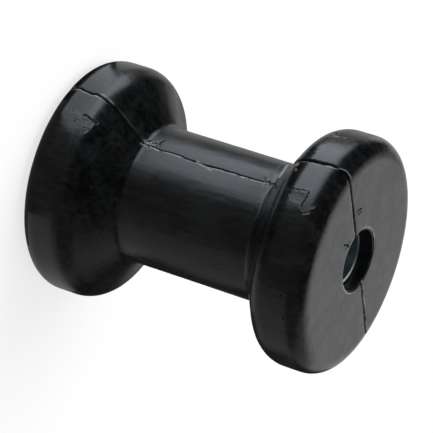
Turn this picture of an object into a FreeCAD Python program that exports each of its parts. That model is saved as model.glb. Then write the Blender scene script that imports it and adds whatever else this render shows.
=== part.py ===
import FreeCAD, Part
import math
import os

import Sketcher

# Boat trailer keel roller: a black rubber spool moulded on a steel tube.
# The roller stands on its lower end face. Its axis is Z, the origin is the
# centre of the lower end face, and the mould parts in the XZ plane.

doc = FreeCAD.newDocument("boat_trailer_roller")

# Driving dimensions, in millimetres
SIZES = [
    ("roller_length", 101.6, "overall length between the two end faces"),
    ("flange_diameter", 77.2, "outside diameter of both flanges"),
    ("flange_width", 16.7, "end face to the corner where the flank starts"),
    ("flank_depth", 10.5, "length of a conical flank along the axis"),
    ("waist_diameter", 45.4, "diameter of the straight waist under the keel"),
    ("end_corner_radius", 6.4, "rounding from an end face to the rim"),
    ("inner_corner_radius", 8.35, "rounding from the rim to the flank"),
    ("foot_radius", 2.3, "hollow rounding from the flank to the waist"),
    ("liner_diameter", 19.05, "outside diameter of the steel liner"),
    ("liner_wall", 1.245, "wall of the steel liner"),
    ("liner_setback", 4.5, "end face to the end of the liner"),
    ("liner_edge_break", 0.3, "chamfer on the liner's cut ends"),
    ("mouth_step", 0.475, "rubber cut back round the liner, at each mouth"),
    ("mouth_chamfer", 0.5, "chamfer on the rubber edge at each mouth"),
    ("seam_width", 0.5, "width of the parting line groove"),
    ("seam_depth", 0.4, "depth of the parting line groove"),
]

sheet = doc.addObject("Spreadsheet::Sheet", "Sizes")
for row, (alias, value, note) in enumerate(SIZES, start=1):
    sheet.set("A%d" % row, alias)
    sheet.set("B%d" % row, str(value))
    sheet.setAlias("B%d" % row, alias)
    sheet.set("C%d" % row, note)
doc.recompute()

# Two places closer than this, in millimetres, are the same place
SAME_PLACE = 1e-4

# Places that several features share, as formulas of the driving dimensions
RIM_RADIUS = "Sizes.flange_diameter / 2"
WAIST_RADIUS = "Sizes.waist_diameter / 2"
SEAT_RADIUS = "Sizes.liner_diameter / 2"
MOUTH_RADIUS = "Sizes.liner_diameter / 2 + Sizes.mouth_step"
FOOT_HEIGHT = "Sizes.flange_width + Sizes.flank_depth"
FLANK_RISE = "(Sizes.flange_diameter - Sizes.waist_diameter) / 2"
FLANK_SLANT = "sqrt((%s) ^ 2 + Sizes.flank_depth ^ 2)" % FLANK_RISE
SEAM_DROP = "Sizes.seam_depth * (%s - Sizes.flank_depth) / (%s)" % (FLANK_SLANT, FLANK_RISE)
SEAM_RIM_RADIUS = RIM_RADIUS + " - Sizes.seam_depth"
SEAM_WAIST_RADIUS = WAIST_RADIUS + " - Sizes.seam_depth"
SEAM_CORNER_HEIGHT = "Sizes.flange_width - " + SEAM_DROP
SEAM_FOOT_HEIGHT = FOOT_HEIGHT + " - " + SEAM_DROP
SEAM_OUTSIDE = RIM_RADIUS + " + Sizes.seam_depth"


def from_top(formula):
    """Height of a place that lies as far below the upper end face as the formula says."""
    return "Sizes.roller_length - (%s)" % formula


def size(formula):
    """Number that a formula of the sheet's values gives now."""
    return float(sheet.evalExpression(formula))


def origin_plane(body, role):
    """Origin plane of a body, such as XZ_Plane."""
    for feature in body.Origin.OriginFeatures:
        if feature.Role == role:
            return feature
    raise ValueError("the body has no %s" % role)


def new_sketch(body, name, role):
    """Empty sketch on one of the body's own origin planes."""
    sketch = body.newObject("Sketcher::SketchObject", name)
    sketch.AttachmentSupport = [(origin_plane(body, role), "")]
    sketch.MapMode = "FlatFace"
    return sketch


def drive(sketch, constraint, formula):
    """Add a dimension to a sketch and bind it to the sheet."""
    index = sketch.addConstraint(constraint)
    sketch.setExpression("Constraints[%d]" % index, formula)


def place_point(sketch, geometry, point, across, up):
    """Dimension a point from the sketch origin, across and up."""
    origin = (-1, 1)
    drive(
        sketch,
        Sketcher.Constraint("DistanceX", *origin, geometry, point, size(across)),
        across,
    )
    if size(up) == 0:
        sketch.addConstraint(Sketcher.Constraint("PointOnObject", geometry, point, -1))
        return
    drive(
        sketch,
        Sketcher.Constraint("DistanceY", *origin, geometry, point, size(up)),
        up,
    )


def draw_outline(sketch, corners):
    """Draw a closed outline whose corners are dimensioned, rounded where they have a radius.

    Each corner is (across, up, radius) in formulas of the sheet; radius may be None.
    """
    count = len(corners)
    points = [FreeCAD.Vector(size(across), size(up), 0) for across, up, _ in corners]
    cuts = []
    for i, (_, _, radius) in enumerate(corners):
        before = (points[i - 1] - points[i]).normalize()
        after = (points[(i + 1) % count] - points[i]).normalize()
        if radius is None:
            cuts.append((points[i], points[i], None))
            continue
        half_angle = before.getAngle(after) / 2
        middle = (before + after).normalize()
        reach = size(radius) / math.tan(half_angle)
        centre = points[i] + middle * (size(radius) / math.sin(half_angle))
        cuts.append((points[i] + before * reach, points[i] + after * reach, centre))

    lines = []
    for i in range(count):
        start = cuts[i][1]
        end = cuts[(i + 1) % count][0]
        lines.append(sketch.addGeometry(Part.LineSegment(start, end), False))

    for i, (across, up, radius) in enumerate(corners):
        line_in = lines[i - 1]
        line_out = lines[i]
        if radius is None:
            sketch.addConstraint(Sketcher.Constraint("Coincident", line_in, 2, line_out, 1))
            place_point(sketch, line_out, 1, across, up)
            continue
        start, end, centre = cuts[i]
        middle = (points[i] - centre).normalize() * size(radius) + centre
        arc = sketch.addGeometry(Part.Arc(start, middle, end), False)
        runs_forward = sketch.getPoint(arc, 1).distanceToPoint(start) < SAME_PLACE
        first, last = (1, 2) if runs_forward else (2, 1)
        corner = sketch.addGeometry(Part.Point(points[i]), True)
        sketch.addConstraint(Sketcher.Constraint("PointOnObject", corner, 1, line_in))
        sketch.addConstraint(Sketcher.Constraint("PointOnObject", corner, 1, line_out))
        place_point(sketch, corner, 1, across, up)
        sketch.addConstraint(Sketcher.Constraint("Tangent", line_in, 2, arc, first))
        sketch.addConstraint(Sketcher.Constraint("Tangent", arc, last, line_out, 1))
        drive(sketch, Sketcher.Constraint("Radius", arc, size(radius)), radius)


def revolve(body, name, sketch):
    """Solid of revolution of a sketch about the body's Z axis."""
    turned = body.newObject("PartDesign::Revolution", name)
    turned.Profile = sketch
    turned.ReferenceAxis = (sketch, ["V_Axis"])
    turned.Angle = 360
    return turned


def ring_edges(feature, radius, heights):
    """Names of the feature's full circles with a radius and one of some heights."""
    names = []
    for number, edge in enumerate(feature.Shape.Edges, start=1):
        curve = edge.Curve
        if not isinstance(curve, Part.Circle) or abs(curve.Radius - radius) > SAME_PLACE:
            continue
        if any(abs(curve.Center.z - height) < SAME_PLACE for height in heights):
            names.append("Edge%d" % number)
    return names


# Rubber body: flanges, flanks, waist and stepped bore in one revolved profile
roller = doc.addObject("PartDesign::Body", "RollerBody")
roller.Label = "roller_body"

SPOOL_OUTLINE = [
    (MOUTH_RADIUS, "0", None),
    (RIM_RADIUS, "0", "Sizes.end_corner_radius"),
    (RIM_RADIUS, "Sizes.flange_width", "Sizes.inner_corner_radius"),
    (WAIST_RADIUS, FOOT_HEIGHT, "Sizes.foot_radius"),
    (WAIST_RADIUS, from_top(FOOT_HEIGHT), "Sizes.foot_radius"),
    (RIM_RADIUS, from_top("Sizes.flange_width"), "Sizes.inner_corner_radius"),
    (RIM_RADIUS, "Sizes.roller_length", "Sizes.end_corner_radius"),
    (MOUTH_RADIUS, "Sizes.roller_length", None),
    (MOUTH_RADIUS, from_top("Sizes.liner_setback"), None),
    (SEAT_RADIUS, from_top("Sizes.liner_setback"), None),
    (SEAT_RADIUS, "Sizes.liner_setback", None),
    (MOUTH_RADIUS, "Sizes.liner_setback", None),
]

spool_sketch = new_sketch(roller, "SpoolProfile", "XZ_Plane")
draw_outline(spool_sketch, SPOOL_OUTLINE)
spool = revolve(roller, "Spool", spool_sketch)
doc.recompute()

end_faces = (0, size("Sizes.roller_length"))
mouths = roller.newObject("PartDesign::Chamfer", "MouthChamfer")
mouths.Base = (spool, ring_edges(spool, size(MOUTH_RADIUS), end_faces))
mouths.setExpression("Size", "Sizes.mouth_chamfer")
doc.recompute()

# Parting line: a narrow groove of even depth that follows the profile from mouth to mouth
SEAM_OUTLINE = [
    (SEAT_RADIUS, "Sizes.seam_depth", None),
    (SEAM_RIM_RADIUS, "Sizes.seam_depth", "Sizes.end_corner_radius - Sizes.seam_depth"),
    (SEAM_RIM_RADIUS, SEAM_CORNER_HEIGHT, "Sizes.inner_corner_radius - Sizes.seam_depth"),
    (SEAM_WAIST_RADIUS, SEAM_FOOT_HEIGHT, "Sizes.foot_radius + Sizes.seam_depth"),
    (SEAM_WAIST_RADIUS, from_top(SEAM_FOOT_HEIGHT), "Sizes.foot_radius + Sizes.seam_depth"),
    (SEAM_RIM_RADIUS, from_top(SEAM_CORNER_HEIGHT), "Sizes.inner_corner_radius - Sizes.seam_depth"),
    (SEAM_RIM_RADIUS, from_top("Sizes.seam_depth"), "Sizes.end_corner_radius - Sizes.seam_depth"),
    (SEAT_RADIUS, from_top("Sizes.seam_depth"), None),
    (SEAT_RADIUS, "Sizes.roller_length + Sizes.seam_depth", None),
    (SEAM_OUTSIDE, "Sizes.roller_length + Sizes.seam_depth", None),
    (SEAM_OUTSIDE, "-Sizes.seam_depth", None),
    (SEAT_RADIUS, "-Sizes.seam_depth", None),
]

seam_sketch = new_sketch(roller, "SeamFloor", "XZ_Plane")
draw_outline(seam_sketch, SEAM_OUTLINE)
doc.recompute()

seam = roller.newObject("PartDesign::Pocket", "PartingLine")
seam.Profile = seam_sketch
seam.Type = "Length"
seam.SideType = "Symmetric"
seam.setExpression("Length", "Sizes.seam_width")
doc.recompute()

second_seam = roller.newObject("PartDesign::Mirrored", "PartingLineBothSides")
second_seam.Originals = [seam]
second_seam.MirrorPlane = (origin_plane(roller, "YZ_Plane"), [""])
roller.Tip = second_seam
doc.recompute()

# Steel liner: a plain tube on the same axis, set back from both end faces
liner = doc.addObject("PartDesign::Body", "LinerTube")
liner.Label = "liner_tube"

LINER_BORE_RADIUS = "Sizes.liner_diameter / 2 - Sizes.liner_wall"
LINER_OUTLINE = [
    (LINER_BORE_RADIUS, "Sizes.liner_setback", None),
    (SEAT_RADIUS, "Sizes.liner_setback", None),
    (SEAT_RADIUS, from_top("Sizes.liner_setback"), None),
    (LINER_BORE_RADIUS, from_top("Sizes.liner_setback"), None),
]
liner_sketch = new_sketch(liner, "TubeWall", "XZ_Plane")
draw_outline(liner_sketch, LINER_OUTLINE)
tube = revolve(liner, "Tube", liner_sketch)
doc.recompute()

tube_ends = (size("Sizes.liner_setback"), size(from_top("Sizes.liner_setback")))
edges = ring_edges(tube, size(SEAT_RADIUS), tube_ends)
edges += ring_edges(tube, size(LINER_BORE_RADIUS), tube_ends)
deburred = liner.newObject("PartDesign::Chamfer", "CutEnds")
deburred.Base = (tube, edges)
deburred.setExpression("Size", "Sizes.liner_edge_break")
doc.recompute()

# Every object is sound before anything is written
for item in doc.Objects:
    if "Invalid" in item.State or "Error" in item.State:
        raise RuntimeError("%s did not compute: %s" % (item.Name, item.State))

os.makedirs("parts", exist_ok=True)
for body in (roller, liner):
    body.Placement = FreeCAD.Placement()
    shape = body.Shape
    if shape.isNull() or not shape.isValid() or len(shape.Solids) != 1:
        raise RuntimeError("%s is not one sound solid" % body.Label)
    shape.exportStep("parts/%s.step" % body.Label)
    print("%s: %.1f mm3" % (body.Label, shape.Volume))
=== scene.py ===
"""Looks of a boat trailer keel roller: black moulded rubber on a zinc plated steel liner."""

import logging
import math
from dataclasses import astuple, dataclass, field
from enum import Enum

import bmesh
import bpy
from mathutils import Matrix, Vector, kdtree, noise


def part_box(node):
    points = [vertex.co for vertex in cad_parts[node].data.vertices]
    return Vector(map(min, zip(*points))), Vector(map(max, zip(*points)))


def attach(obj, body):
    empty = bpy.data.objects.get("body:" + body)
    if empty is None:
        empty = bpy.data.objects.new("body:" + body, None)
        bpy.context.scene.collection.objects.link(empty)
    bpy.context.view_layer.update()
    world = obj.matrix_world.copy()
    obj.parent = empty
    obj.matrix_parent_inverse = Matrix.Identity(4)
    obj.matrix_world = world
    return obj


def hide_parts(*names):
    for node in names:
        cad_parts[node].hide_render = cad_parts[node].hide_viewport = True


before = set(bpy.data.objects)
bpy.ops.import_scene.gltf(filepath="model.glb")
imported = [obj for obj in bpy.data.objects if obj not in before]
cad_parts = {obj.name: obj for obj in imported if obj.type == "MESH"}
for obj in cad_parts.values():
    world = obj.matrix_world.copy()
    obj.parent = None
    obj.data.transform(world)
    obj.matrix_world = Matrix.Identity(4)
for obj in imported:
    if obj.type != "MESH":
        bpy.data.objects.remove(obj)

# Metres in a millimetre: sizes below are in millimetres, meshes are in metres
MM = 0.001
# Points closer than this are one, in millimetres
MERGE_GAP = 1e-4
log = logging.getLogger("roller")

# Two numbers in millimetres that say where on the skin something is, as its Skin says
SkinPlace = tuple[float, float]


def linear_colour(code: str) -> tuple[float, float, float, float]:
    """Turn an sRGB hex code into the linear colour that a shader takes.

    Args:
        code: Colour such as "#1b1c1d".

    Returns:
        Red, green, blue and an alpha of 1, all linear.
    """
    channels = [int(code[i:i + 2], 16) / 255 for i in (1, 3, 5)]
    linear = [c / 12.92 if c <= 0.04045 else ((c + 0.055) / 1.055) ** 2.4 for c in channels]
    return (*linear, 1.0)


def add_node(
    tree: bpy.types.NodeTree,
    kind: str,
    inputs: dict[str | int, object] | None = None,
    links: dict[str | int, bpy.types.NodeSocket] | None = None,
    **settings: object,
) -> bpy.types.Node:
    """Add a node with its settings, constant inputs and links.

    Args:
        tree: Node tree that takes the node.
        kind: Blender's name of the node's type.
        inputs: Constant values by socket name or number.
        links: Sockets of other nodes by the name or number of the socket they feed.
        settings: Properties of the node itself.

    Returns:
        The new node.
    """
    node = tree.nodes.new(kind)
    for name, value in settings.items():
        setattr(node, name, value)
    for name, value in (inputs or {}).items():
        node.inputs[name].default_value = value
    for name, source in (links or {}).items():
        tree.links.new(source, node.inputs[name])
    return node


def new_material(name: str) -> tuple[bpy.types.Material, bpy.types.NodeTree]:
    """Make an empty node material.

    Args:
        name: Name of the finish.

    Returns:
        The material and its cleared node tree.
    """
    material = bpy.data.materials.new(name)
    material.use_nodes = True
    material.node_tree.nodes.clear()
    return material, material.node_tree


def seeing_rays(tree: bpy.types.NodeTree) -> bpy.types.NodeSocket:
    """Tell the rays that see, through view, gloss or glass, from those that only bring light.

    Args:
        tree: Node tree of a material or of the world.

    Returns:
        Socket that is 1 on a ray that sees and 0 on the others.
    """
    path = add_node(tree, "ShaderNodeLightPath")
    seen = path.outputs["Is Camera Ray"]
    for kind in ("Is Glossy Ray", "Is Transmission Ray"):
        seen = add_node(
            tree, "ShaderNodeMath", operation="ADD", links={0: seen, 1: path.outputs[kind]}
        ).outputs[0]
    return seen


def link_object(name: str, data: bpy.types.ID) -> bpy.types.Object:
    """Put a mesh, a lamp or a camera into the scene.

    Args:
        name: Name of the object.
        data: What the object shows or does.

    Returns:
        The new object, at the origin.
    """
    made = bpy.data.objects.new(name, data)
    bpy.context.scene.collection.objects.link(made)
    return made


def mesh_object(
    name: str, mesh: bmesh.types.BMesh, material: bpy.types.Material
) -> bpy.types.Object:
    """Turn a bmesh into an object with its finish.

    Args:
        name: Name of the object and of its mesh.
        mesh: Its shape in metres; it is freed.
        material: Its finish.

    Returns:
        The new object, at the origin.
    """
    data = bpy.data.meshes.new(name)
    mesh.to_mesh(data)
    mesh.free()
    data.materials.append(material)
    return link_object(name, data)


def spin_round(mesh: bmesh.types.BMesh, steps: int) -> None:
    """Spin a closed outline once about the Z axis into a body whose faces point outwards.

    Args:
        mesh: The outline in the XZ plane, which becomes the body.
        steps: Number of faces round the body.
    """
    bmesh.ops.spin(
        mesh, geom=mesh.verts[:] + mesh.edges[:], cent=(0, 0, 0), axis=(0, 0, 1),
        angle=2 * math.pi, steps=steps, use_merge=True,
    )
    bmesh.ops.remove_doubles(mesh, verts=mesh.verts[:], dist=MERGE_GAP * MM)
    bmesh.ops.recalc_face_normals(mesh, faces=mesh.faces[:])


def direction(azimuth: float, elevation: float) -> Vector:
    """Return the unit vector towards an azimuth and an elevation, both in degrees."""
    turn, rise = math.radians(azimuth), math.radians(elevation)
    return Vector((math.cos(turn) * math.cos(rise), math.sin(turn) * math.cos(rise), math.sin(rise)))


def clamp(value: float, low: float = 0.0, high: float = 1.0) -> float:
    """Return the value, kept between low and high."""
    return min(max(value, low), high)


def smooth_step(value: float, low: float, high: float) -> float:
    """Return 0 below low, 1 above high and a smooth rise between them."""
    share = clamp((value - low) / (high - low))
    return share * share * (3 - 2 * share)


def bell(distance: float, width: float) -> float:
    """Return 1 at no distance, falling to a third at the width."""
    return math.exp(-((distance / width) ** 2))


def two_scales(place: Vector, size: float, share: float, finer: float) -> float:
    """Return noise of a size in millimetres, with a share of noise so many times finer."""
    return noise.noise(place / size) + share * noise.noise(place / size * finer)


class Skin(Enum):
    """The stretch of skin that a mark lies on, which says how its places are given."""

    # Way round from the seam at the skin's own radius, then height
    SIDE = "side"
    # Across the upper end face, X then Y
    FACE = "face"


@dataclass(frozen=True)
class Chance:
    """A value that goes up and down about its middle by chance, from place to place."""

    middle: float
    swing: float
    # How many times it changes in a millimetre
    rate: float
    # Where its noise is read, so that two values don't rise and fall together
    shift: tuple[float, float, float] = (0.0, 0.0, 0.0)

    def at(self, place: Vector) -> float:
        """Return the value at a point, given in millimetres."""
        return self.middle + self.swing * noise.noise(place * self.rate + Vector(self.shift))


@dataclass(frozen=True)
class MouldedRubber:
    """Compression moulded black rubber: satin, a little streaky, greyer where it is scuffed, light
    grey where highlights are painted on lips and ridges.
    """

    # Carbon black compound, with a faint grey bloom where the surface has aged
    deep_colour: str = "#0a0b0c"
    bloom_colour: str = "#1f2223"
    # The mottle is a sum of clouds and streaks: its value where the bloom begins and is full
    bloom_range: tuple[float, float] = (0.8, 1.3)
    # Torn and scuffed rubber scatters light, so flash and scratches are grey; the same light grey
    # paints highlights on the lips of the parting line and of the mouth and on thin ridges
    wear_and_glint_colour: str = "#dfe2e3"
    ior: float = 1.52
    # At the mottle's dark places and at its light ones, and the mottle's values there
    roughness: tuple[float, float] = (0.25, 0.35)
    roughness_range: tuple[float, float] = (0.6, 1.4)
    polished_roughness: float = 0.23
    worn_roughness: float = 0.6
    # Clouds of bloom, and flow streaks that run along the roller
    cloud_size: float = 9.0
    streak_size: float = 1.7
    streak_stretch: float = 0.22
    streak_height: float = 0.085
    # The skin's real grain is about 0.1 mm: it is drawn coarser, so that it shows
    grain_size: float = 0.6
    grain_height: float = 0.02

    def material(self) -> bpy.types.Material:
        """Build the rubber's material.

        Returns:
            Material that reads object coordinates, the skin's polish attribute and its attribute of
            wear and painted highlights.
        """
        material, tree = new_material("moulded_rubber")
        place = add_node(tree, "ShaderNodeTexCoord").outputs["Object"]
        polish = add_node(tree, "ShaderNodeAttribute", attribute_name="polish").outputs["Fac"]
        wear_and_glint = add_node(tree, "ShaderNodeAttribute", attribute_name="wear_and_glint").outputs["Fac"]
        along = add_node(
            tree, "ShaderNodeMapping", links={"Vector": place},
            inputs={"Scale": (1.0, 1.0, self.streak_stretch)},
        ).outputs["Vector"]
        clouds, streaks, grain = (
            add_node(
                tree, "ShaderNodeTexNoise",
                inputs={"Scale": 1 / (size * MM), "Detail": detail, "Roughness": rough},
                links={"Vector": vector},
            ).outputs["Fac"]
            for size, vector, detail, rough in (
                (self.cloud_size, place, 4.0, 0.6),
                (self.streak_size, along, 3.0, 0.6),
                (self.grain_size, place, 2.0, 0.5),
            )
        )
        mottle = add_node(
            tree, "ShaderNodeMath", operation="ADD", links={0: clouds, 1: streaks}
        ).outputs[0]
        bloom = add_node(
            tree, "ShaderNodeMapRange", interpolation_type="SMOOTHSTEP",
            inputs={"From Min": self.bloom_range[0], "From Max": self.bloom_range[1]},
            links={"Value": mottle},
        ).outputs["Result"]
        clean = add_node(
            tree, "ShaderNodeMix", data_type="RGBA",
            inputs={"A": linear_colour(self.deep_colour), "B": linear_colour(self.bloom_colour)},
            links={"Factor": bloom},
        ).outputs[2]
        # Wear and painted highlights both mix the light grey into the colour
        colour = add_node(
            tree, "ShaderNodeMix", data_type="RGBA",
            inputs={"B": linear_colour(self.wear_and_glint_colour)}, links={"Factor": wear_and_glint, "A": clean},
        ).outputs[2]
        dull = add_node(
            tree, "ShaderNodeMapRange",
            inputs={
                "From Min": self.roughness_range[0], "From Max": self.roughness_range[1],
                "To Min": self.roughness[0], "To Max": self.roughness[1],
            },
            links={"Value": mottle},
        ).outputs["Result"]
        smooth = add_node(
            tree, "ShaderNodeMix", data_type="FLOAT",
            inputs={"B": self.polished_roughness}, links={"Factor": polish, "A": dull},
        ).outputs[0]
        roughness = add_node(
            tree, "ShaderNodeMix", data_type="FLOAT",
            inputs={"B": self.worn_roughness}, links={"Factor": wear_and_glint, "A": smooth},
        ).outputs[0]
        streaked = add_node(
            tree, "ShaderNodeBump",
            inputs={"Distance": self.streak_height * MM}, links={"Height": streaks},
        ).outputs["Normal"]
        bump = add_node(
            tree, "ShaderNodeBump",
            inputs={"Distance": self.grain_height * MM},
            links={"Height": grain, "Normal": streaked},
        ).outputs["Normal"]
        shader = add_node(
            tree, "ShaderNodeBsdfPrincipled",
            inputs={"IOR": self.ior, "Metallic": 0.0},
            links={"Base Color": colour, "Roughness": roughness, "Normal": bump},
        )
        add_node(tree, "ShaderNodeOutputMaterial", links={"Surface": shader.outputs["BSDF"]})
        return material


@dataclass(frozen=True)
class ZincPlatedSteel:
    """Drawn steel tube, zinc plated and dulled by its oxide: matt cool grey, bright at its cut,
    where painted light fades into painted shade round the tube.
    """

    plate_colour: str = "#9cb4b6"
    dull_colour: str = "#74898c"
    cut_colour: str = "#e8eef0"
    # The oxide film hides a little of the metal's gloss, and the sawn end scatters most of it
    metal_share: float = 0.9
    cut_metal_share: float = 0.3
    # Where the drawing marks are low and where they are high
    roughness: tuple[float, float] = (0.3, 0.42)
    # Spangle of the plating, and the drawing marks that run along the tube
    spangle_size: float = 1.5
    draw_mark_pitch: float = 0.5
    draw_mark_stretch: float = 0.04
    draw_mark_height: float = 0.006

    def material(self) -> bpy.types.Material:
        """Build the liner's material.

        Returns:
            Metal material that reads object coordinates and the tube's cut attribute, which holds
            painted light and shade on the sawn end.
        """
        material, tree = new_material("zinc_plated_steel")
        place = add_node(tree, "ShaderNodeTexCoord").outputs["Object"]
        cut_with_light = add_node(tree, "ShaderNodeAttribute", attribute_name="cut_with_light").outputs["Fac"]
        spangle = add_node(
            tree, "ShaderNodeTexNoise",
            inputs={"Scale": 1 / (self.spangle_size * MM), "Detail": 3.0},
            links={"Vector": place},
        ).outputs["Fac"]
        along = add_node(
            tree, "ShaderNodeMapping", links={"Vector": place},
            inputs={"Scale": (1.0, 1.0, self.draw_mark_stretch)},
        ).outputs["Vector"]
        marks = add_node(
            tree, "ShaderNodeTexNoise",
            inputs={"Scale": 1 / (self.draw_mark_pitch * MM), "Detail": 2.0},
            links={"Vector": along},
        ).outputs["Fac"]
        film = add_node(
            tree, "ShaderNodeMix", data_type="RGBA",
            inputs={"A": linear_colour(self.dull_colour), "B": linear_colour(self.plate_colour)},
            links={"Factor": spangle},
        ).outputs[2]
        colour = add_node(
            tree, "ShaderNodeMix", data_type="RGBA",
            inputs={"B": linear_colour(self.cut_colour)}, links={"Factor": cut_with_light, "A": film},
        ).outputs[2]
        roughness = add_node(
            tree, "ShaderNodeMapRange",
            inputs={"To Min": self.roughness[0], "To Max": self.roughness[1]},
            links={"Value": marks},
        ).outputs["Result"]
        bump = add_node(
            tree, "ShaderNodeBump",
            inputs={"Distance": self.draw_mark_height * MM}, links={"Height": marks},
        ).outputs["Normal"]
        metal = add_node(
            tree, "ShaderNodeMapRange",
            inputs={"To Min": self.metal_share, "To Max": self.cut_metal_share},
            links={"Value": cut_with_light},
        ).outputs["Result"]
        shader = add_node(
            tree, "ShaderNodeBsdfPrincipled",
            links={
                "Base Color": colour, "Metallic": metal, "Roughness": roughness, "Normal": bump,
            },
        )
        add_node(tree, "ShaderNodeOutputMaterial", links={"Surface": shader.outputs["BSDF"]})
        return material


@dataclass(frozen=True)
class PaleFloor:
    """Matt white board that the roller stands on: white to the eye, with the shadow kept."""

    board_colour: str = "#bcbcbc"
    # Share of white that the board shows of itself, beside the light that falls on it
    glow: float = 0.72

    def material(self) -> bpy.types.Material:
        """Build the board's material.

        Returns:
            Diffuse material with a glow that only view, gloss and glass rays see.
        """
        material, tree = new_material("white_board")
        strength = add_node(
            tree, "ShaderNodeMath", operation="MULTIPLY",
            inputs={1: self.glow}, links={0: seeing_rays(tree)},
        ).outputs[0]
        board = add_node(
            tree, "ShaderNodeBsdfDiffuse", inputs={"Color": linear_colour(self.board_colour)}
        ).outputs["BSDF"]
        glow = add_node(
            tree, "ShaderNodeEmission", links={"Strength": strength}
        ).outputs["Emission"]
        both = add_node(
            tree, "ShaderNodeAddShader", links={0: board, 1: glow}
        ).outputs["Shader"]
        add_node(tree, "ShaderNodeOutputMaterial", links={"Surface": both})
        return material


@dataclass(frozen=True)
class StudioCard:
    """Evenly lit card or cloth of the studio, which shows only in gloss."""

    name: str
    # Brightness of its face, where 1 is white
    brightness: float
    colour: str = "#ffffff"

    def material(self) -> bpy.types.Material:
        """Build the card's material.

        Returns:
            Material with an even glow.
        """
        material, tree = new_material(self.name)
        face = add_node(
            tree, "ShaderNodeEmission",
            inputs={"Color": linear_colour(self.colour), "Strength": self.brightness},
        )
        add_node(tree, "ShaderNodeOutputMaterial", links={"Surface": face.outputs["Emission"]})
        return material

    def stage(self, mesh: bmesh.types.BMesh) -> bpy.types.Object:
        """Turn a bmesh into a staged object that only gloss rays see.

        Args:
            mesh: Shape of the card; it is freed.

        Returns:
            The card's object.
        """
        card = mesh_object(self.name, mesh, self.material())
        card.visible_camera = False
        card.visible_diffuse = False
        card.visible_shadow = False
        card.visible_transmission = False
        return card


@dataclass(frozen=True)
class RollerForm:
    """Sizes of the roller in millimetres. The outer ones come from the frame."""

    length: float
    rim_radius: float
    liner_radius: float
    liner_setback: float
    flange_width: float = 16.7
    flank_depth: float = 10.5
    waist_radius: float = 22.7
    end_corner: float = 6.4
    inner_corner: float = 8.35
    foot: float = 2.3
    mouth_step: float = 0.475
    mouth_chamfer: float = 0.5
    liner_wall: float = 1.245

    @classmethod
    def from_frame(cls) -> "RollerForm":
        """Read the outer sizes from the boxes of the two CAD nodes.

        Returns:
            The roller's sizes.
        """
        body_low, body_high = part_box("roller_body")
        tube_low, tube_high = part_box("liner_tube")
        return cls(
            length=(body_high.z - body_low.z) / MM,
            rim_radius=body_high.y / MM,
            liner_radius=tube_high.y / MM,
            liner_setback=(tube_low.z - body_low.z) / MM,
        )

    @property
    def mouth_radius(self) -> float:
        """Radius of the recess in each end, inside its chamfer."""
        return self.liner_radius + self.mouth_step

    @property
    def mouth_edge(self) -> float:
        """Radius where the end face begins, outside the mouth's chamfer."""
        return self.mouth_radius + self.mouth_chamfer

    @property
    def flank_slope(self) -> float:
        """Angle between the flank and the axis, in radians."""
        return math.atan2(self.rim_radius - self.waist_radius, self.flank_depth)

    @property
    def corner_height(self) -> float:
        """Height where the rim turns into the rounded inner corner."""
        return self.flange_width - self.inner_corner * math.tan(self.flank_slope / 2)

    @property
    def foot_centre(self) -> float:
        """Height of the centre of the fillet at the flank's foot, where the waist begins."""
        return self.flange_width + self.flank_depth + self.foot * math.tan(self.flank_slope / 2)

    def skin_radius(self, height: float) -> float:
        """Work out the radius of the outer skin.

        Args:
            height: Height above the lower end, in millimetres.

        Returns:
            Radius in millimetres.
        """
        up = min(height, self.length - height)
        corner_centre = self.rim_radius - self.inner_corner
        corner_end = self.corner_height + self.inner_corner * math.sin(self.flank_slope)
        foot_start = self.foot_centre - self.foot * math.sin(self.flank_slope)
        if up < self.end_corner:
            short = self.end_corner - up
            return self.rim_radius - self.end_corner + math.sqrt(self.end_corner**2 - short**2)
        if up < self.corner_height:
            return self.rim_radius
        if up < corner_end:
            past = up - self.corner_height
            return corner_centre + math.sqrt(self.inner_corner**2 - past**2)
        if up < foot_start:
            drop = (up - corner_end) * math.tan(self.flank_slope)
            return corner_centre + self.inner_corner * math.cos(self.flank_slope) - drop
        if up < self.foot_centre:
            left = self.foot_centre - up
            return self.waist_radius + self.foot - math.sqrt(self.foot**2 - left**2)
        return self.waist_radius

    def point(self, skin: Skin, place: SkinPlace) -> Vector:
        """Turn a place on the skin into a point.

        Args:
            skin: Stretch of skin that the place is on.
            place: The place, given as the skin says.

        Returns:
            The point, in millimetres.
        """
        if skin is Skin.FACE:
            return Vector((*place, self.length))
        around, height = place
        radius = self.skin_radius(height)
        turn = around / radius
        return Vector((radius * math.cos(turn), radius * math.sin(turn), height))


@dataclass
class OutlinePen:
    """Draws a chain of edges in the XZ plane, straight and round stretch by stretch."""

    mesh: bmesh.types.BMesh
    tip: bmesh.types.BMVert
    # Longest edge in millimetres, and the fewest edges of a round stretch
    pitch: float
    least_steps: int = 6

    def line(self, across: float, up: float, pitch: float | None = None) -> None:
        """Draw a straight stretch.

        Args:
            across: Distance of its end from the axis, in millimetres.
            up: Height of its end.
            pitch: Longest edge; the pen's own where left out.
        """
        start = self.tip.co.copy()
        way = Vector((across, 0, up)) * MM - start
        steps = max(1, math.ceil(way.length / MM / (pitch or self.pitch)))
        for step in range(1, steps + 1):
            made = bmesh.ops.extrude_vert_indiv(self.mesh, verts=[self.tip])
            self.tip = made["verts"][0]
            self.tip.co = start + way * (step / steps)

    def arc(self, across: float, up: float, turn: float) -> None:
        """Draw a round stretch about a centre.

        Args:
            across: Distance of the centre from the axis, in millimetres.
            up: Height of the centre.
            turn: Angle in radians, positive from the axis outwards and up.
        """
        centre = Vector((across, 0, up)) * MM
        length = (self.tip.co - centre).length / MM * abs(turn)
        steps = max(self.least_steps, math.ceil(length / self.pitch))
        made = bmesh.ops.spin(
            self.mesh, geom=[self.tip], cent=centre, axis=(0, -1, 0), angle=turn, steps=steps
        )
        self.tip = next(v for v in made["geom_last"] if isinstance(v, bmesh.types.BMVert))


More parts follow.
